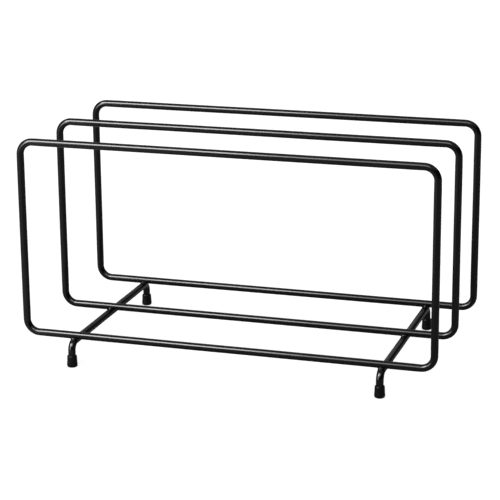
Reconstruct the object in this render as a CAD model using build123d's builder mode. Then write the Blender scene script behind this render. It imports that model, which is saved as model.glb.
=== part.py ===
"""Magazine rack of round wire.

Three closed rectangular loops stand one behind the other. Each is welded across two base bars, which run
front to back under the loops and turn down at both ends into short legs. A soft cap is pushed over each leg.

Millimetres. +X runs along the loops, +Y from the front loop to the rear one and +Z up. The origin is on the
floor, under the middle of the rack.
"""

import os

from build123d import *

# Wire
wire_diameter = 6.0

# Loops
overall_width = 360.0  # across a loop, outside to outside
loop_height = 172.0  # from the underside of a loop's bottom wire to the top of its top wire
loop_spacing = 84.0  # from one loop's centreline to the next loop's
corner_radius = 11.0  # centreline of the wire round a loop's corner

# Base bars
bar_inset = 43.0  # from a loop's upright centreline in to the base bar's centreline
leg_bend_radius = 7.0  # centreline of the wire where a bar turns down
bend_start_inset = 0.5  # how far inside an outer loop's centreline the bend begins
bare_leg = 4.0  # straight leg left showing between the bend and the cap

# Welds
weld_set_down = 1.0  # how far a loop's wire sinks into the bar under it
weld_bulge = 0.5  # how far the bead stands out past the wire's side
weld_half_height = 2.0  # the bead above and below the middle of the joint

# Foot caps
cap_height = 10.0
cap_floor = 2.0  # solid base under the leg's end
cap_wall = 1.15  # at the rim
cap_flare = 0.3  # how much further out the cap stands at its foot than at its rim
cap_fit_clearance = 0.0  # the soft cap grips the leg, so its bore is the leg's own size
cap_foot_rounding = 1.4
cap_rim_rounding_share = 0.7  # the rim's rounding as a share of the wall

# Sizes that follow
wire_radius = wire_diameter / 2
loop_half_width = (overall_width - wire_diameter) / 2
loop_rise = loop_height - wire_diameter
bar_x = loop_half_width - bar_inset
bar_z = cap_height + bare_leg + leg_bend_radius
loop_bottom_z = bar_z + wire_diameter - weld_set_down
loop_top_z = loop_bottom_z + loop_rise
joint_z = (bar_z + loop_bottom_z) / 2
bead_radius = wire_radius + weld_bulge
leg_y = loop_spacing + leg_bend_radius - bend_start_inset
bore_radius = wire_radius + cap_fit_clearance
cap_rim_radius = bore_radius + cap_wall
cap_foot_radius = cap_rim_radius + cap_flare

loop_places = {"front": -loop_spacing, "middle": 0.0, "rear": loop_spacing}
bar_places = {"left": -bar_x, "right": bar_x}
leg_places = {"front": -leg_y, "rear": leg_y}


def write(piece, name):
    """Label a finished piece and write it to a file of its own."""
    piece.label = name
    export_step(piece, f"parts/{name}.step")


def wire_loop(y):
    """A closed loop of wire, standing in the plane at y."""
    corners = [
        (-loop_half_width, loop_bottom_z),
        (loop_half_width, loop_bottom_z),
        (loop_half_width, loop_top_z),
        (-loop_half_width, loop_top_z),
    ]
    with BuildPart() as loop:
        with BuildLine(Plane.XZ.offset(-y)) as centreline:
            FilletPolyline(*corners, radius=corner_radius, close=True)
        with BuildSketch(Plane(centreline.line @ 0, z_dir=centreline.line % 0)):
            Circle(wire_radius)
        sweep(path=centreline.wires()[0])
    return loop.part


def base_bar(x, loops):
    """A base bar at x with its two legs, saddled where each loop's wire sinks in."""
    corners = [
        (-leg_y, cap_floor),
        (-leg_y, bar_z),
        (leg_y, bar_z),
        (leg_y, cap_floor),
    ]
    with BuildPart() as bar:
        with BuildLine(Plane.YZ.offset(x)) as centreline:
            FilletPolyline(*corners, radius=leg_bend_radius)
        with BuildSketch(Plane(centreline.line @ 0, z_dir=centreline.line % 0)):
            Circle(wire_radius)
        sweep(path=centreline.wires()[0])
        add(loops, mode=Mode.SUBTRACT)
    return bar.part


def weld_bead(x, y, loop, bar):
    """The bead round the joint of a loop and a bar: a flattened ball less the two wires it joins."""
    joint = Plane((x, y, joint_z), x_dir=(1, 0, 0), z_dir=(0, -1, 0))
    with BuildPart() as bead:
        with BuildSketch(joint):
            Ellipse(bead_radius, weld_half_height)
            Rectangle(
                bead_radius,
                2 * weld_half_height,
                align=(Align.MAX, Align.CENTER),
                mode=Mode.SUBTRACT,
            )
        revolve(axis=Axis(joint.origin, (0, 0, 1)))
        add([loop, bar], mode=Mode.SUBTRACT)
    return bead.part


def foot_cap(x, y):
    """A push-on cap: wider at its foot, rounded at foot and rim, with a blind bore that the leg fills."""
    with BuildPart() as cap:
        with Locations((x, y, 0)):
            Cone(
                cap_foot_radius,
                cap_rim_radius,
                cap_height,
                align=(Align.CENTER, Align.CENTER, Align.MIN),
            )
        fillet(cap.edges().group_by(Axis.Z)[0], cap_foot_rounding)
        fillet(cap.edges().group_by(Axis.Z)[-1], cap_rim_rounding_share * cap_wall)
        with Locations((x, y, cap_height)):
            Hole(bore_radius, cap_height - cap_floor)
    return cap.part


os.makedirs("parts", exist_ok=True)

loops = {place: wire_loop(y) for place, y in loop_places.items()}
for place, loop in loops.items():
    write(loop, f"{place}_loop")

bars = {side: base_bar(x, loops.values()) for side, x in bar_places.items()}
for side, bar in bars.items():
    write(bar, f"{side}_base_bar")

for place, y in loop_places.items():
    for side, x in bar_places.items():
        write(weld_bead(x, y, loops[place], bars[side]), f"weld_{place}_{side}")

for place, y in leg_places.items():
    for side, x in bar_places.items():
        write(foot_cap(x, y), f"{place}_{side}_foot_cap")
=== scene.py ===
"""Looks for the wire magazine rack: enamelled wire loops and base bars, weld beads and rubber foot caps."""

import logging
import math
from dataclasses import dataclass
from enum import Enum

import bmesh
import bpy
import numpy as np
from mathutils import Matrix, Vector


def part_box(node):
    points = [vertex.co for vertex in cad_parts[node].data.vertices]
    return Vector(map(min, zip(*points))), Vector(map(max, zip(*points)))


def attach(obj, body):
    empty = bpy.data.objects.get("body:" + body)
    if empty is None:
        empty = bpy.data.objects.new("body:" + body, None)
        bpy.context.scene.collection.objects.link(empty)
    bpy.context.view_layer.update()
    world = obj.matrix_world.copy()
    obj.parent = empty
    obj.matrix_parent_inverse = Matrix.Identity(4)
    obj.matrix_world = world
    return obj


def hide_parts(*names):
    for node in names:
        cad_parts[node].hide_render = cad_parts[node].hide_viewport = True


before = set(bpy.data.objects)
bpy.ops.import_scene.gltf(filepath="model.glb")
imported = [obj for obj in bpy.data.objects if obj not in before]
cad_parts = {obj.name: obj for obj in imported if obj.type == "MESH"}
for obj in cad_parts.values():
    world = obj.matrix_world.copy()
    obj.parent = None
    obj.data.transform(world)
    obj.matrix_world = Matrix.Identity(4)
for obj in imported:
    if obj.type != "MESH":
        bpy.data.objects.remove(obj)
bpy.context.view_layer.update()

MM = 0.001
BODY = "root"

log = logging.getLogger("magazine_rack")


# --------------------------------------------------------------------------------------------------------
# Small tools
# --------------------------------------------------------------------------------------------------------


def linear_colour(hex_code: str) -> tuple[float, float, float, float]:
    """Turn an sRGB hex colour into linear light.

    Args:
        hex_code: six hex digits with a leading hash, such as "#101012".

    Returns:
        Red, green, blue and an alpha of one, in linear light.
    """
    channels = [int(hex_code[i : i + 2], 16) / 255 for i in (1, 3, 5)]
    linear = [c / 12.92 if c <= 0.04045 else ((c + 0.055) / 1.055) ** 2.4 for c in channels]
    return (*linear, 1.0)


def add_node(
    tree: bpy.types.NodeTree,
    kind: str,
    settings: dict[str, object] | None = None,
    inputs: dict[str | int, object] | None = None,
) -> bpy.types.Node:
    """Add one shader node with its settings, its socket values and its links.

    Args:
        tree: the node tree that the node joins.
        kind: Blender's name for the node's type.
        settings: properties of the node itself.
        inputs: a value or another node's output socket for each input socket, by its name or place.

    Returns:
        The new node.
    """
    node = tree.nodes.new(kind)
    for name, value in (settings or {}).items():
        setattr(node, name, value)
    for socket, value in (inputs or {}).items():
        if isinstance(value, bpy.types.NodeSocket):
            tree.links.new(value, node.inputs[socket])
        else:
            node.inputs[socket].default_value = value
    return node


def smooth_step(share: np.ndarray) -> np.ndarray:
    """Ease from nought to one with level ends, for shares below nought to above one."""
    held = np.clip(share, 0.0, 1.0)
    return held * held * (3.0 - 2.0 * held)


def make_piece(name: str, points: np.ndarray, faces: list[tuple[int, ...]]) -> bpy.types.Object:
    """Make a smooth-shaded mesh object at the origin of the row frame.

    Args:
        name: the object's name.
        points: one row of x, y and z for each vertex, in metres.
        faces: the vertices of each face, in order round it. The faces are turned to face outward here.

    Returns:
        The new object, linked to the scene.
    """
    mesh = bpy.data.meshes.new(name)
    mesh.from_pydata(points.tolist(), [], faces)
    shape = bmesh.new()
    shape.from_mesh(mesh)
    bmesh.ops.recalc_face_normals(shape, faces=shape.faces)
    shape.to_mesh(mesh)
    shape.free()
    mesh.polygons.foreach_set("use_smooth", [True] * len(mesh.polygons))
    piece = bpy.data.objects.new(name, mesh)
    bpy.context.scene.collection.objects.link(piece)
    return piece


# --------------------------------------------------------------------------------------------------------
# Finishes
# --------------------------------------------------------------------------------------------------------


@dataclass(frozen=True)
class Finish:
    """A finish that dresses pieces in one procedural material."""

    name: str

    def start(self) -> tuple[bpy.types.Material, bpy.types.NodeTree]:
        """Make the empty material.

        Returns:
            The material and its node tree.
        """
        material = bpy.data.materials.new(self.name)
        material.use_nodes = True
        material.node_tree.nodes.clear()
        return material, material.node_tree

    def texture_place(self, tree: bpy.types.NodeTree) -> bpy.types.NodeSocket:
        """Give the row frame's own coordinates, in metres, for the patterns."""
        return add_node(tree, "ShaderNodeTexCoord").outputs["Object"]


@dataclass(frozen=True)
class StoveEnamel(Finish):
    """Black stove enamel on steel wire, sprayed and baked.

    The spray levels into a semi-gloss skin with a faint orange peel, so a lamp's reflection is a clear but
    slightly soft line. The film is a little thicker in places, which shifts the sheen and the black.
    """

    name: str = "black_stove_enamel_sprayed_and_baked"
    deep_black: str = "#070708"
    thin_black: str = "#0c0c0d"
    roughness_low: float = 0.13
    roughness_high: float = 0.20
    peel_spacing_mm: float = 1.2
    peel_height_mm: float = 0.0015
    film_patch_mm: float = 38.0
    film_ends: tuple[float, float] = (0.3, 0.7)  # noise levels of the thickest and the thinnest film
    black_ends: tuple[float, float] = (0.35, 0.65)  # the same for the colour, which changes more sharply

    def material(self) -> bpy.types.Material:
        """Build the enamel.

        Returns:
            The material, ready for a piece's slot.
        """
        material, tree = self.start()
        place = self.texture_place(tree)
        film = add_node(
            tree,
            "ShaderNodeTexNoise",
            inputs={"Vector": place, "Scale": 1 / (self.film_patch_mm * MM), "Detail": 3.0},
        )
        # Where the film is thick the black is deepest and the skin levels best.
        black = add_node(tree, "ShaderNodeValToRGB", inputs={"Fac": film.outputs["Fac"]})
        black.color_ramp.elements[0].position = self.black_ends[0]
        black.color_ramp.elements[1].position = self.black_ends[1]
        black.color_ramp.elements[0].color = linear_colour(self.deep_black)
        black.color_ramp.elements[1].color = linear_colour(self.thin_black)
        sheen = add_node(
            tree,
            "ShaderNodeMapRange",
            inputs={
                "Value": film.outputs["Fac"],
                "From Min": self.film_ends[0],
                "From Max": self.film_ends[1],
                "To Min": self.roughness_low,
                "To Max": self.roughness_high,
            },
        )
        peel = add_node(
            tree,
            "ShaderNodeTexNoise",
            inputs={"Vector": place, "Scale": 1 / (self.peel_spacing_mm * MM), "Detail": 1.5},
        )
        bump = add_node(
            tree,
            "ShaderNodeBump",
            inputs={"Height": peel.outputs["Fac"], "Strength": 1.0, "Distance": self.peel_height_mm * MM},
        )
        shader = add_node(
            tree,
            "ShaderNodeBsdfPrincipled",
            inputs={
                "Base Color": black.outputs["Color"],
                "Roughness": sheen.outputs["Result"],
                "Normal": bump.outputs["Normal"],
                "IOR": 1.5,
            },
        )
        add_node(tree, "ShaderNodeOutputMaterial", inputs={"Surface": shader.outputs["BSDF"]})
        return material


@dataclass(frozen=True)
class MouldedRubber(Finish):
    """Black rubber, compression moulded in a spark-eroded tool.

    The tool leaves a fine even grain that kills the gloss, so the caps read as matte beside the enamel, with
    only a soft light along the rim.
    """

    name: str = "black_rubber_moulded_matte"
    black: str = "#050505"
    worn_black: str = "#0b0b0a"
    roughness_low: float = 0.25
    roughness_high: float = 0.33
    gloss_level: float = 0.36
    grain_mm: float = 0.28  # the tool's grain is nearer 0.1 mm: drawn coarser so that it shows
    grain_height_mm: float = 0.012
    patch_mm: float = 6.0
    dull_ends: tuple[float, float] = (0.3, 0.7)  # noise levels of the glossiest and the dullest rubber
    black_ends: tuple[float, float] = (0.35, 0.7)  # the same for the colour

    def material(self) -> bpy.types.Material:
        """Build the rubber.

        Returns:
            The material, ready for a piece's slot.
        """
        material, tree = self.start()
        place = self.texture_place(tree)
        patch = add_node(
            tree,
            "ShaderNodeTexNoise",
            inputs={"Vector": place, "Scale": 1 / (self.patch_mm * MM), "Detail": 4.0},
        )
        colour = add_node(tree, "ShaderNodeValToRGB", inputs={"Fac": patch.outputs["Fac"]})
        colour.color_ramp.elements[0].position = self.black_ends[0]
        colour.color_ramp.elements[1].position = self.black_ends[1]
        colour.color_ramp.elements[0].color = linear_colour(self.black)
        colour.color_ramp.elements[1].color = linear_colour(self.worn_black)
        dullness = add_node(
            tree,
            "ShaderNodeMapRange",
            inputs={
                "Value": patch.outputs["Fac"],
                "From Min": self.dull_ends[0],
                "From Max": self.dull_ends[1],
                "To Min": self.roughness_low,
                "To Max": self.roughness_high,
            },
        )
        grain = add_node(
            tree,
            "ShaderNodeTexNoise",
            inputs={"Vector": place, "Scale": 1 / (self.grain_mm * MM), "Detail": 2.0},
        )
        bump = add_node(
            tree,
            "ShaderNodeBump",
            inputs={"Height": grain.outputs["Fac"], "Strength": 1.0, "Distance": self.grain_height_mm * MM},
        )
        shader = add_node(
            tree,
            "ShaderNodeBsdfPrincipled",
            inputs={
                "Base Color": colour.outputs["Color"],
                "Roughness": dullness.outputs["Result"],
                "Normal": bump.outputs["Normal"],
                "IOR": 1.5,
                "Specular IOR Level": self.gloss_level,
            },
        )
        add_node(tree, "ShaderNodeOutputMaterial", inputs={"Surface": shader.outputs["BSDF"]})
        return material


@dataclass(frozen=True)
class OpalAcrylic(Finish):
    """Opal acrylic sheet lit from below, cast with a satin face: a plain white floor with hardly a shadow."""

    name: str = "opal_acrylic_cast_satin_lit_from_below"
    pale: str = "#f6f6f5"
    shade: str = "#f2f2f1"
    glow_low: float = 0.66
    glow_high: float = 0.69
    mottle_mm: float = 120.0

    def material(self) -> bpy.types.Material:
        """Build the acrylic.

        Returns:
            The material, ready for the floor's slot.
        """
        material, tree = self.start()
        mottle = add_node(
            tree,
            "ShaderNodeTexNoise",
            inputs={"Vector": self.texture_place(tree), "Scale": 1 / (self.mottle_mm * MM)},
        )
        colour = add_node(tree, "ShaderNodeValToRGB", inputs={"Fac": mottle.outputs["Fac"]})
        colour.color_ramp.elements[0].color = linear_colour(self.shade)
        colour.color_ramp.elements[1].color = linear_colour(self.pale)
        glow = add_node(
            tree,
            "ShaderNodeMapRange",
            inputs={"Value": mottle.outputs["Fac"], "To Min": self.glow_low, "To Max": self.glow_high},
        )
        face = add_node(
            tree,
            "ShaderNodeBsdfDiffuse",
            inputs={"Color": colour.outputs["Color"], "Roughness": 1.0},
        )
        lamp = add_node(
            tree,
            "ShaderNodeEmission",
            inputs={"Color": (1.0, 1.0, 1.0, 1.0), "Strength": glow.outputs["Result"]},
        )
        both = add_node(
            tree,
            "ShaderNodeAddShader",
            inputs={0: face.outputs["BSDF"], 1: lamp.outputs["Emission"]},
        )
        add_node(tree, "ShaderNodeOutputMaterial", inputs={"Surface": both.outputs["Shader"]})
        material.cycles.emission_sampling = "NONE"
        return material


@dataclass(frozen=True)
class GraduatedFilm(Finish):
    """Film lit from below, with painted light that makes it lighter to the left, as if the key softbox lit
    the floor there, and painted shade that makes it dark under the rack.

    It shows only in gloss, and shapes the reflections along the wires.
    """

    name: str = "graduated_film_painted_light_and_shade_lit_from_below"
    painted_light_along_x: tuple[tuple[float, str], ...] = (
        (-0.50, "#a2a2a2"),
        (-0.20, "#b2b2b2"),
        (0.00, "#868686"),
        (0.20, "#767676"),
    )  # the painted light at each place along X, in metres: lighter to the left, towards the key softbox
    # Painted shade: the dark grey of the oval under the rack.
    under: str = "#606060"
    glow: float = 0.9
    patch: tuple[float, float] = (0.27, 0.14)  # half sizes of the oval of painted shade under the rack, in metres
    patch_edge: tuple[float, float] = (0.7, 1.2)  # the oval fades out between these shares of its half sizes

    def material(self) -> bpy.types.Material:
        """Build the film.

        Returns:
            The material, ready for the film's slot.
        """
        material, tree = self.start()
        place = self.texture_place(tree)
        across = add_node(tree, "ShaderNodeSeparateXYZ", inputs={"Vector": place}).outputs["X"]
        first, last = self.painted_light_along_x[0][0], self.painted_light_along_x[-1][0]
        share = add_node(
            tree,
            "ShaderNodeMapRange",
            inputs={"Value": across, "From Min": first, "From Max": last},
        )
        # The painted light: the film is made lighter to the left, as if the key softbox lit the floor there.
        shade = add_node(tree, "ShaderNodeValToRGB", inputs={"Fac": share.outputs["Result"]})
        ramp = shade.color_ramp.elements
        ramp[0].color = linear_colour(self.painted_light_along_x[0][1])
        ramp[1].color = linear_colour(self.painted_light_along_x[-1][1])
        for where, grey in self.painted_light_along_x[1:-1]:
            ramp.new((where - first) / (last - first)).color = linear_colour(grey)
        # The oval of painted shade under the rack: darkest in the middle, fading out towards its edge.
        from_middle = add_node(
            tree,
            "ShaderNodeVectorMath",
            {"operation": "MULTIPLY"},
            {0: place, 1: (1 / self.patch[0], 1 / self.patch[1], 0.0)},
        ).outputs["Vector"]
        distance = add_node(
            tree,
            "ShaderNodeVectorMath",
            {"operation": "LENGTH"},
            {0: from_middle},
        ).outputs["Value"]
        outside = add_node(
            tree,
            "ShaderNodeMapRange",
            {"interpolation_type": "SMOOTHSTEP"},
            {"Value": distance, "From Min": self.patch_edge[0], "From Max": self.patch_edge[1]},
        ).outputs["Result"]
        # Painted shade in the oval under the rack, with the painted light along X outside it.
        painted_light_and_shade = add_node(
            tree,
            "ShaderNodeMix",
            {"data_type": "RGBA"},
            {0: outside, 6: linear_colour(self.under), 7: shade.outputs["Color"]},
        ).outputs[2]
        lit = add_node(tree, "ShaderNodeEmission", inputs={"Color": painted_light_and_shade, "Strength": self.glow})
        add_node(tree, "ShaderNodeOutputMaterial", inputs={"Surface": lit.outputs["Emission"]})
        material.cycles.emission_sampling = "NONE"
        return material


class Slot(Enum):
    """The record's material slots."""

    WIRE_PAINT = "wire_paint"
    FOOT_RUBBER = "foot_rubber"


# --------------------------------------------------------------------------------------------------------
# Wire
# --------------------------------------------------------------------------------------------------------


@dataclass(frozen=True)
class BentWire:
    """Round wire, cold-bent along a flat route of straight runs and arcs.

    Attributes:
        corners: where the straight runs would meet, as along and up in the route's plane, in metres.
        origin: the row frame's place of the plane's zero.
        along: the plane's first unit direction; the second is straight up.
        radius: the wire's own radius.
        bend_radius: the centreline's radius in every bend.
        closed: whether the route ends where it starts.
        phase: shifts the wire's small unevenness, so that no two wires are alike.
    """

    corners: tuple[tuple[float, float], ...]
    origin: Vector
    along: Vector
    radius: float
    bend_radius: float
    closed: bool
    phase: float
    sides: int = 40
    run_step: float = 4 * MM
    arc_steps: int = 18
    bend_run_out: float = 7 * MM  # the squeeze of a bend dies away over this length of straight wire
    squeeze: float = 0.03  # the bender flattens the section by this share
    unevenness: float = 0.05 * MM  # how far the straightened wire still wanders

    def arcs(self) -> tuple[np.ndarray, np.ndarray]:
        """Walk the route's ends and arcs.

        Returns:
            The points, and the unit directions of travel there, in the route's plane.
        """
        corners = np.array(self.corners)
        count = len(corners)
        points, ways = [], []
        for i in range(count):
            here = corners[i]
            way = self.unit(here - corners[i - 1])
            leave = self.unit(corners[(i + 1) % count] - here)
            if not self.closed and i in (0, count - 1):
                points.append(here)
                ways.append(leave if i == 0 else way)
                continue
            turn = math.atan2(way[0] * leave[1] - way[1] * leave[0], float(way @ leave))
            inward = np.array([-way[1], way[0]]) * math.copysign(1.0, turn)
            start = here - way * self.bend_radius * math.tan(abs(turn) / 2)
            centre = start + inward * self.bend_radius
            for angle in np.linspace(0.0, abs(turn), self.arc_steps + 1):
                points.append(centre + self.bend_radius * (way * math.sin(angle) - inward * math.cos(angle)))
                ways.append(way * math.cos(angle) + inward * math.sin(angle))
        return np.array(points), np.array(ways)

    @staticmethod
    def unit(vector: np.ndarray) -> np.ndarray:
        """Scale a vector to length one."""
        return vector / np.linalg.norm(vector)

    def stations(self) -> tuple[np.ndarray, np.ndarray, np.ndarray]:
        """Fill the straight runs between the arcs.

        Returns:
            The points, the unit directions of travel, and how much of a bend's squeeze each point has.
        """
        points, ways = self.arcs()
        count = len(points)
        filled, facing, squeezed = [], [], []
        for i in range(count):
            filled.append(points[i])
            facing.append(ways[i])
            last = i == count - 1
            squeezed.append(1.0 if self.closed or 0 < i < count - 1 else 0.0)
            if last and not self.closed:
                break
            step = points[(i + 1) % count] - points[i]
            run = float(np.linalg.norm(step))
            pieces = max(1, round(run / self.run_step))
            starts_free = not self.closed and i == 0
            ends_free = not self.closed and i == count - 2
            for k in range(1, pieces):
                share = k / pieces
                from_start = math.inf if starts_free else share * run
                from_end = math.inf if ends_free else (1 - share) * run
                nearest = min(from_start, from_end)
                filled.append(points[i] + step * share)
                facing.append(ways[i])
                squeezed.append(1.0 - float(smooth_step(np.array(nearest / self.bend_run_out))))
        return np.array(filled), np.array(facing), np.array(squeezed)

    def wander(self, places: np.ndarray) -> tuple[np.ndarray, np.ndarray]:
        """Work out how far the wire strays from its route.

        Args:
            places: the share of the whole route that is behind each point.

        Returns:
            The stray in the route's plane and across it, in metres.
        """
        turns = 2 * math.pi * places
        in_plane = np.sin(5 * turns + self.phase) + 0.6 * np.sin(11 * turns + 2.1 * self.phase)
        out_of_plane = np.sin(4 * turns + 1.7 * self.phase) + 0.6 * np.sin(9 * turns + 0.4 * self.phase)
        ends = 1.0 if self.closed else np.sin(math.pi * places)
        return in_plane * ends * self.unevenness / 2, out_of_plane * ends * self.unevenness / 2

    def build(self, name: str) -> bpy.types.Object:
        """Sweep the wire's section along its route.

        Args:
            name: the object's name.

        Returns:
            The wire as a closed mesh.
        """
        points, ways, squeezed = self.stations()
        count = len(points)
        closing = points[:1] if self.closed else points[-1:]
        lengths = np.linalg.norm(np.diff(points, axis=0, append=closing), axis=1)
        places = np.concatenate([[0.0], np.cumsum(lengths)[:-1]]) / lengths.sum()
        in_plane, out_of_plane = self.wander(places)
        across = np.stack([-ways[:, 1], ways[:, 0]], 1)
        centres = points + across * in_plane[:, None]
        along, up = np.array(self.along), np.array((0.0, 0.0, 1.0))
        outward = np.cross(along, up)
        spin = np.linspace(0.0, 2 * math.pi, self.sides, endpoint=False)
        flat = self.radius * (1 - self.squeeze * squeezed)
        wide = self.radius * (1 + 0.5 * self.squeeze * squeezed)
        plane = centres[:, None, :] + across[:, None, :] * (flat[:, None] * np.cos(spin))[:, :, None]
        off = out_of_plane[:, None] + wide[:, None] * np.sin(spin)
        rings = (
            np.array(self.origin)
            + plane[:, :, :1] * along
            + plane[:, :, 1:] * up
            + off[:, :, None] * outward
        )
        vertices = rings.reshape(-1, 3)
        faces = [
            (
                i * self.sides + j,
                (i + 1) % count * self.sides + j,
                (i + 1) % count * self.sides + (j + 1) % self.sides,
                i * self.sides + (j + 1) % self.sides,
            )
            for i in range(count if self.closed else count - 1)
            for j in range(self.sides)
        ]
        if not self.closed:
            last = (count - 1) * self.sides
            faces.append(tuple(range(self.sides)))
            faces.append(tuple(range(last + self.sides - 1, last - 1, -1)))
        return make_piece(name, vertices, faces)


# --------------------------------------------------------------------------------------------------------
# Sub-assemblies
# --------------------------------------------------------------------------------------------------------


@dataclass(frozen=True)
class RackSizes:
    """Where the rack's pieces lie, read from the frame, with the few sizes that a box can't tell.

    Attributes:
        wire_radius: of the loops and the base bars.
        loop_bottom: height of the centreline of a loop's bottom wire.
        loop_top: height of the centreline of a loop's top wire.
        loop_reach: from the middle of the rack out to a loop's upright centreline.
        bar_height: height of a base bar's centreline.
        leg_reach: from the middle of the rack out to a leg's centreline, front or back.
        leg_end: height of a leg's cut end, inside its cap.
        corner_radius: centreline radius of a loop's corners.
        leg_bend_radius: centreline radius where a bar turns down into a leg.
        film: the enamel's thickness over the steel.
    """

    wire_radius: float
    loop_bottom: float
    loop_top: float
    loop_reach: float
    bar_height: float
    leg_reach: float
    leg_end: float
    corner_radius: float = 11 * MM
    leg_bend_radius: float = 7 * MM
    film: float = 0.18 * MM

    @classmethod
    def from_frame(cls) -> "RackSizes":
        """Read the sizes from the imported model's boxes.

        Returns:
            The sizes, with the ones that a box can't tell left as they stand above.
        """
        loop_low, loop_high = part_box("front_loop")
        bar_low, bar_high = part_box("left_base_bar")
        radius = (loop_high.y - loop_low.y) / 2
        return cls(
            wire_radius=radius,
            loop_bottom=loop_low.z + radius,
            loop_top=loop_high.z - radius,
            loop_reach=loop_high.x - radius,
            bar_height=bar_high.z - radius,
            leg_reach=bar_high.y - radius,
            leg_end=bar_low.z,
        )

    @property
    def coated_radius(self) -> float:
        """The wire's radius with its enamel on."""
        return self.wire_radius + self.film

    @property
    def bend_start(self) -> float:
        """How far out along a base bar its end bends begin."""
        return self.leg_reach - self.leg_bend_radius


@dataclass(frozen=True)
class WireLoop:
    """One closed upright loop."""

    node: str
    sizes: RackSizes
    phase: float

    def build(self) -> bpy.types.Object:
        """Bend the loop's wire in its plane.

        Returns:
            The loop's mesh.
        """
        low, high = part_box(self.node)
        reach, bottom, top = self.sizes.loop_reach, self.sizes.loop_bottom, self.sizes.loop_top
        wire = BentWire(
            corners=((-reach, bottom), (reach, bottom), (reach, top), (-reach, top)),
            origin=Vector((0.0, (low.y + high.y) / 2, 0.0)),
            along=Vector((1.0, 0.0, 0.0)),
            radius=self.sizes.coated_radius,
            bend_radius=self.sizes.corner_radius,
            closed=True,
            phase=self.phase,
        )
        return wire.build(f"{self.node}_enamelled_wire")


@dataclass(frozen=True)
class BaseBar:
    """One base bar with its two turned-down legs."""

    node: str
    sizes: RackSizes
    phase: float

    def build(self) -> bpy.types.Object:
        """Bend the bar's wire from one leg's end to the other's.

        Returns:
            The bar's mesh, legs and all.
        """
        low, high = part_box(self.node)
        reach, height, end = self.sizes.leg_reach, self.sizes.bar_height, self.sizes.leg_end
        wire = BentWire(
            corners=((-reach, end), (-reach, height), (reach, height), (reach, end)),
            origin=Vector(((low.x + high.x) / 2, 0.0, 0.0)),
            along=Vector((0.0, 1.0, 0.0)),
            radius=self.sizes.coated_radius,
            bend_radius=self.sizes.leg_bend_radius,
            closed=False,
            phase=self.phase,
        )
        return wire.build(f"{self.node}_enamelled_wire")


@dataclass(frozen=True)
class WeldBead:
    """The upset metal in the crook of a loop and a base bar, rounded over by the enamel.

    Its surface blends the two wires' surfaces into each other, and sinks just under them where the blend
    dies away, so that only the crook is filled.
    """

    node: str
    sizes: RackSizes
    phase: float
    blend: float = 1.5 * MM  # the crook is filled where the two wires' surfaces are nearer than this
    blend_change: float = 0.28  # how much the filling varies round the joint, as a share
    sink: float = 0.03 * MM
    reach_level: float = 4.6 * MM
    reach_up: float = 2.7 * MM
    rounds: int = 28  # halvings in the search along each ray
    subdivisions: int = 6  # of the ball that the rays come from

    def gap(self, points: np.ndarray, blend: np.ndarray) -> np.ndarray:
        """Measure how far points lie outside the blended wires.

        Args:
            points: offsets from the joint's middle, one row of x, y and z each.
            blend: the blend's width for each point.

        Returns:
            The distance for each point, negative inside.
        """
        low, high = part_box(self.node)
        sizes = self.sizes
        joint = (sizes.bar_height + sizes.loop_bottom) / 2
        x, y, z = points[:, 0], points[:, 1], points[:, 2] + joint
        loop = np.hypot(y, z - sizes.loop_bottom) - sizes.coated_radius
        along = np.abs(y + (low.y + high.y) / 2)
        past = along - sizes.bend_start
        drop = z - (sizes.bar_height - sizes.leg_bend_radius)
        bent = np.where(past > 0, np.hypot(past, drop) - sizes.leg_bend_radius, z - sizes.bar_height)
        bar = np.hypot(x, bent) - sizes.coated_radius
        near = np.clip(1 - np.abs(loop - bar) / blend, 0, None)
        return np.minimum(loop, bar) - near * near * blend / 4 + self.sink

    def build(self) -> bpy.types.Object:
        """Find the blended surface along rays from the joint's middle.

        Returns:
            The bead's mesh.
        """
        low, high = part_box(self.node)
        joint = (self.sizes.bar_height + self.sizes.loop_bottom) / 2
        ball = bpy.data.meshes.new("ball")
        shape = bmesh.new()
        bmesh.ops.create_icosphere(shape, subdivisions=self.subdivisions, radius=1.0)
        shape.to_mesh(ball)
        shape.free()
        rays = np.array([v.co for v in ball.vertices])
        faces = [tuple(p.vertices) for p in ball.polygons]
        bpy.data.meshes.remove(ball)
        level = (rays[:, 0] ** 2 + rays[:, 1] ** 2) / self.reach_level**2
        limit = 1 / np.sqrt(level + rays[:, 2] ** 2 / self.reach_up**2)
        round_it = np.arctan2(rays[:, 1], rays[:, 0])
        change = np.sin(2 * round_it + self.phase) * 0.6 + np.sin(5 * round_it + 2.3 * self.phase) * 0.4
        blend = self.blend * (1 + self.blend_change * change)
        inside, outside = np.zeros(len(rays)), limit.copy()
        for _ in range(self.rounds):
            middle = (inside + outside) / 2
            is_out = self.gap(rays * middle[:, None], blend) > 0
            outside = np.where(is_out, middle, outside)
            inside = np.where(is_out, inside, middle)
        points = rays * outside[:, None] + np.array(((low.x + high.x) / 2, (low.y + high.y) / 2, joint))
        return make_piece(f"{self.node}_bead", points, faces)


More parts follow.
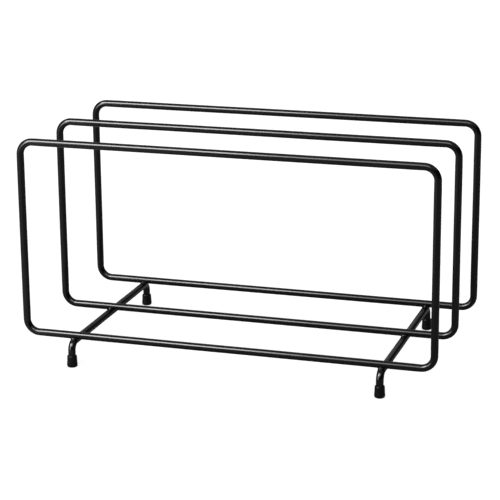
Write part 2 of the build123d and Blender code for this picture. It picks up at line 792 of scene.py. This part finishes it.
@dataclass(frozen=True)
class FootCap:
    """A push-on rubber cap, turned from one closed outline.

    Attributes:
        node: the CAD cap that it stands for.
        wire_radius: of the bare leg inside it.
        film: the enamel's thickness on that leg.
    """

    node: str
    wire_radius: float
    film: float
    wall: float = 1.15 * MM  # from the bare leg's side out to the rim
    flare: float = 0.3 * MM  # how much further out the cap stands at its foot
    floor: float = 2.0 * MM
    foot_rounding: float = 1.4 * MM
    rim_rounding: float = 0.55 * MM
    mouth_rounding: float = 0.25 * MM
    swell: float = 0.12 * MM  # the loaded rubber stands out round the leg's end
    swell_rise: float = 0.6 * MM  # the swell is greatest this far above the leg's end
    swell_spread: float = 1.4 * MM
    dish_radius: float = 2.2 * MM
    dish_depth: float = 0.3 * MM
    grip: float = 0.04 * MM  # the bore is this much smaller than the leg it is stretched over
    sides: int = 72
    arc_steps: int = 9
    side_steps: int = 13

    def arc(
        self,
        centre: tuple[float, float],
        radius: float,
        start: float,
        end: float,
    ) -> list[tuple[float, float]]:
        """List the points of an arc of the outline.

        Args:
            centre: the arc's middle, as radius out and height.
            radius: the arc's radius.
            start: the first point's angle, in degrees from straight out.
            end: the last point's angle.

        Returns:
            The points, as radius out and height.
        """
        angles = np.radians(np.linspace(start, end, self.arc_steps))
        return [(centre[0] + radius * math.cos(a), centre[1] + radius * math.sin(a)) for a in angles]

    def outline(self, height: float) -> list[tuple[float, float]]:
        """Draw the cap's outline from the middle of its underside round to the middle of its bore.

        Args:
            height: from the foot to the rim.

        Returns:
            The points, as radius out and height.
        """
        rim = self.wire_radius + self.wall
        foot = rim + self.flare
        bore = self.wire_radius + self.film - self.grip
        side_low, side_high = self.foot_rounding, height - self.rim_rounding
        side = []
        for share in np.linspace(0.0, 1.0, self.side_steps + 1)[1:-1]:
            up = side_low + (side_high - side_low) * share
            from_swell = (up - self.floor - self.swell_rise) / self.swell_spread
            bulge = self.swell * math.exp(-(from_swell**2))
            side.append((foot + (rim - foot) * share + bulge, up))
        dish_edge = self.dish_radius + self.dish_depth
        mouth = (bore + self.mouth_rounding, height - self.mouth_rounding)
        return [
            (0.0, self.dish_depth),
            (self.dish_radius * 0.6, self.dish_depth),
            (self.dish_radius, self.dish_depth * 0.9),
            (dish_edge, self.dish_depth * 0.15),
            (dish_edge + self.dish_depth * 0.5, 0.0),
            *self.arc((foot - self.foot_rounding, self.foot_rounding), self.foot_rounding, -90, 0),
            *side,
            *self.arc((rim - self.rim_rounding, height - self.rim_rounding), self.rim_rounding, 0, 90),
            *self.arc(mouth, self.mouth_rounding, 90, 180),
            (bore, self.floor),
            (0.0, self.floor),
        ]

    def build(self) -> bpy.types.Object:
        """Turn the outline about the leg's centreline.

        Returns:
            The cap's mesh.
        """
        low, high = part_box(self.node)
        outline = self.outline(high.z - low.z)
        centre = np.array(((low.x + high.x) / 2, (low.y + high.y) / 2, low.z))
        spin = np.linspace(0.0, 2 * math.pi, self.sides, endpoint=False)
        rings = [
            np.stack([r * np.cos(spin), r * np.sin(spin), np.full(self.sides, z)], 1)
            for r, z in outline[1:-1]
        ]
        points = np.concatenate([*rings, [[0.0, 0.0, outline[0][1]]], [[0.0, 0.0, outline[-1][1]]]]) + centre
        under, inside = len(points) - 2, len(points) - 1
        faces: list[tuple[int, ...]] = []
        for j in range(self.sides):
            k = (j + 1) % self.sides
            last = (len(rings) - 1) * self.sides
            faces.append((under, k, j))
            faces.append((inside, last + j, last + k))
            for i in range(len(rings) - 1):
                ring, above = i * self.sides, (i + 1) * self.sides
                faces.append((ring + j, ring + k, above + k, above + j))
        return make_piece(f"{self.node}_moulding", points, faces)


# --------------------------------------------------------------------------------------------------------
# Studio
# --------------------------------------------------------------------------------------------------------


@dataclass(frozen=True)
class Camera:
    """The studio camera on a long lens, from the front and right and a little above.

    Attributes:
        azimuth: degrees round from straight in front, towards +X.
        elevation: degrees above the level of what it looks at.
        distance: from the middle loop's centre.
        look_azimuth: the way the lens points, which is off the centre by as much as the framing needs.
        look_elevation: degrees that the lens points down.
        roll: degrees that the camera leans.
        focal_mm: focal length on a 36 mm wide sensor.
    """

    azimuth: float = 17.375
    elevation: float = 15.236
    distance: float = 1.5693
    look_azimuth: float = 17.495
    look_elevation: float = 15.954
    roll: float = -0.472
    focal_mm: float = 131.6
    sensor_mm: float = 36.0

    @staticmethod
    def towards(azimuth: float, elevation: float) -> Vector:
        """Give the unit direction from the object to a place at these angles in degrees."""
        round_it, up = math.radians(azimuth), math.radians(elevation)
        return Vector((math.sin(round_it) * math.cos(up), -math.cos(round_it) * math.cos(up), math.sin(up)))

    def build(self, centre: Vector) -> bpy.types.Object:
        """Set up the camera.

        Args:
            centre: the middle loop's centre.

        Returns:
            The camera, which the scene uses.
        """
        back = self.towards(self.look_azimuth, self.look_elevation)
        right = Vector((0.0, 0.0, 1.0)).cross(back).normalized()
        up = back.cross(right)
        lean = math.radians(self.roll)
        leaning_right = right * math.cos(lean) + up * math.sin(lean)
        leaning_up = up * math.cos(lean) - right * math.sin(lean)
        data = bpy.data.cameras.new("studio_camera")
        data.lens = self.focal_mm
        data.sensor_width = self.sensor_mm
        camera = bpy.data.objects.new("studio_camera", data)
        turned = Matrix((leaning_right, leaning_up, back)).transposed().to_4x4()
        place = centre + self.towards(self.azimuth, self.elevation) * self.distance
        camera.matrix_world = Matrix.Translation(place) @ turned
        bpy.context.scene.collection.objects.link(camera)
        bpy.context.scene.camera = camera
        return camera


@dataclass(frozen=True)
class Softbox:
    """A soft light panel, level along X and tilted towards the rack.

    Attributes:
        name: the light's name.
        place: the middle of the panel.
        width: along X.
        height: up the tilted panel.
        glow: how bright its face is.
    """

    name: str
    place: tuple[float, float, float]
    width: float
    height: float
    glow: float

    def build(self, aim: Vector) -> bpy.types.Object:
        """Hang the panel, which shows only in the gloss.

        Args:
            aim: the point whose height and depth the panel faces.

        Returns:
            The light.
        """
        data = bpy.data.lights.new(self.name, "AREA")
        data.shape = "RECTANGLE"
        data.size, data.size_y = self.width, self.height
        data.energy = self.glow * math.pi * self.width * self.height
        data.use_shadow = False
        light = bpy.data.objects.new(self.name, data)
        light.location = self.place
        level_aim = Vector((self.place[0], aim.y, aim.z))
        light.rotation_euler = (level_aim - light.location).to_track_quat("-Z", "Y").to_euler()
        light.visible_diffuse = False
        light.visible_camera = False
        bpy.context.scene.collection.objects.link(light)
        return light


@dataclass(frozen=True)
class Studio:
    """White floor and backdrop, softboxes up in front and to the left, and dim surroundings.

    The gloss of the enamel shows what stands round the rack. So the floor and the backdrop are left out of
    reflections, and a graduated grey film, with painted light to the left and painted shade under the rack,
    takes the floor's place in them.
    """

    size: float = 8.0
    wash_strength: float = 1.1
    wash_angle_deg: float = 120.0
    room_low: float = 0.005
    room_high: float = 0.27
    softboxes: tuple[Softbox, ...] = (
        Softbox("key_softbox", (-0.90, -1.06, 1.17), 1.0, 0.74, 17.5),
        Softbox("strip_softbox", (0.00, -1.06, 1.17), 0.8, 0.74, 4.2),
        Softbox("side_softbox", (-0.92, -1.12, 0.44), 0.34, 0.84, 12.0),
    )

    def build(self, centre: Vector) -> None:
        """Set up the floor, the backdrop, the lights and the camera.

        Args:
            centre: the middle loop's centre.
        """
        floor = self.sheet("acrylic_floor", 0.0, OpalAcrylic().material())
        film = self.sheet("graduated_film", 0.2 * MM, GraduatedFilm().material())
        backdrop = self.dome()
        for unseen in (floor, backdrop):
            unseen.visible_glossy = False
        film.visible_camera = False
        film.visible_diffuse = False
        film.visible_shadow = False
        film.visible_transmission = False
        self.surroundings()
        for softbox in self.softboxes:
            softbox.build(centre)
        self.wash()
        Camera().build(centre)

    def sheet(self, name: str, height: float, material: bpy.types.Material) -> bpy.types.Object:
        """Lay a square sheet.

        Args:
            name: the object's name.
            height: of the sheet above the foot of the rack.
            material: its finish.

        Returns:
            The sheet.
        """
        signs = ((-1, -1), (1, -1), (1, 1), (-1, 1))
        corners = np.array([(x * self.size, y * self.size, height) for x, y in signs])
        sheet = make_piece(name, corners, [(0, 1, 2, 3)])
        sheet.data.materials.append(material)
        return sheet

    def dome(self) -> bpy.types.Object:
        """Put a white backdrop all round, which only the camera sees.

        Returns:
            The backdrop.
        """
        shape = bmesh.new()
        bmesh.ops.create_icosphere(shape, subdivisions=4, radius=self.size)
        mesh = bpy.data.meshes.new("white_backdrop")
        shape.to_mesh(mesh)
        shape.free()
        dome = bpy.data.objects.new("white_backdrop", mesh)
        bpy.context.scene.collection.objects.link(dome)
        material = bpy.data.materials.new("backdrop_lit_white")
        material.use_nodes = True
        tree = material.node_tree
        tree.nodes.clear()
        glow = add_node(tree, "ShaderNodeEmission", inputs={"Color": (1.0, 1.0, 1.0, 1.0), "Strength": 1.0})
        add_node(tree, "ShaderNodeOutputMaterial", inputs={"Surface": glow.outputs["Emission"]})
        material.cycles.emission_sampling = "NONE"
        mesh.materials.append(material)
        dome.visible_diffuse = False
        dome.visible_shadow = False
        dome.visible_transmission = False
        return dome

    def surroundings(self) -> None:
        """Make the room dark at eye level on the right, and dimly lit above and to the left."""
        world = bpy.data.worlds.new("dim_room")
        bpy.context.scene.world = world
        world.use_nodes = True
        tree = world.node_tree
        tree.nodes.clear()
        way = add_node(tree, "ShaderNodeTexCoord").outputs["Generated"]
        towards_light = add_node(
            tree,
            "ShaderNodeVectorMath",
            {"operation": "DOT_PRODUCT"},
            {0: way, 1: (-0.6, 0.0, 1.0)},
        ).outputs["Value"]
        level = add_node(
            tree,
            "ShaderNodeMapRange",
            {"interpolation_type": "SMOOTHSTEP"},
            {
                "Value": towards_light,
                "From Min": 0.14,
                "From Max": 0.32,
                "To Min": self.room_low,
                "To Max": self.room_high,
            },
        )
        air = add_node(
            tree,
            "ShaderNodeBackground",
            inputs={"Color": (1.0, 1.0, 1.0, 1.0), "Strength": level.outputs["Result"]},
        )
        add_node(tree, "ShaderNodeOutputWorld", inputs={"Surface": air.outputs["Background"]})

    def wash(self) -> None:
        """Light everything evenly from overhead, with no reflection in the gloss."""
        data = bpy.data.lights.new("overhead_wash", "SUN")
        data.energy = self.wash_strength
        data.angle = math.radians(self.wash_angle_deg)
        data.use_shadow = False
        light = bpy.data.objects.new("overhead_wash", data)
        light.visible_glossy = False
        bpy.context.scene.collection.objects.link(light)


# --------------------------------------------------------------------------------------------------------
# The rack
# --------------------------------------------------------------------------------------------------------


class Depth(Enum):
    """The rack's places from front to back."""

    FRONT = "front"
    MIDDLE = "middle"
    REAR = "rear"


class Side(Enum):
    """The rack's places from left to right."""

    LEFT = "left"
    RIGHT = "right"


@dataclass
class MagazineRack:
    """The whole rack: loops, base bars, weld beads and foot caps, dressed and riding on the frame."""

    sizes: RackSizes
    enamel: bpy.types.Material
    rubber: bpy.types.Material

    def dress(self, piece: bpy.types.Object, node: str, material: bpy.types.Material) -> None:
        """Give a piece its finish and tie it to the frame.

        Args:
            piece: the finished mesh.
            node: the CAD node that it stands for.
            material: its finish.
        """
        piece.data.materials.append(material)
        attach(piece, BODY)
        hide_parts(node)
        log.info("%s stands for %s: %d faces", piece.name, node, len(piece.data.polygons))

    def build(self) -> None:
        """Build every piece, from the loops down to the caps."""
        for i, depth in enumerate(Depth):
            node = f"{depth.value}_loop"
            self.dress(WireLoop(node, self.sizes, 1.3 * i).build(), node, self.enamel)
        for i, side in enumerate(Side):
            node = f"{side.value}_base_bar"
            self.dress(BaseBar(node, self.sizes, 0.7 + 2.1 * i).build(), node, self.enamel)
        for i, (depth, side) in enumerate((d, s) for d in Depth for s in Side):
            node = f"weld_{depth.value}_{side.value}"
            self.dress(WeldBead(node, self.sizes, 1.9 * i).build(), node, self.enamel)
        for depth in (Depth.FRONT, Depth.REAR):
            for side in Side:
                node = f"{depth.value}_{side.value}_foot_cap"
                cap = FootCap(node, self.sizes.wire_radius, self.sizes.film)
                self.dress(cap.build(), node, self.rubber)


def main() -> None:
    """Build the rack and the studio."""
    logging.basicConfig(level=logging.INFO, format="%(name)s: %(message)s")
    bpy.context.scene.view_settings.view_transform = "Standard"
    sizes = RackSizes.from_frame()
    MagazineRack(sizes, StoveEnamel().material(), MouldedRubber().material()).build()
    Studio().build(Vector((0.0, 0.0, (sizes.loop_bottom + sizes.loop_top) / 2)))


if __name__ == "__main__":
    main()
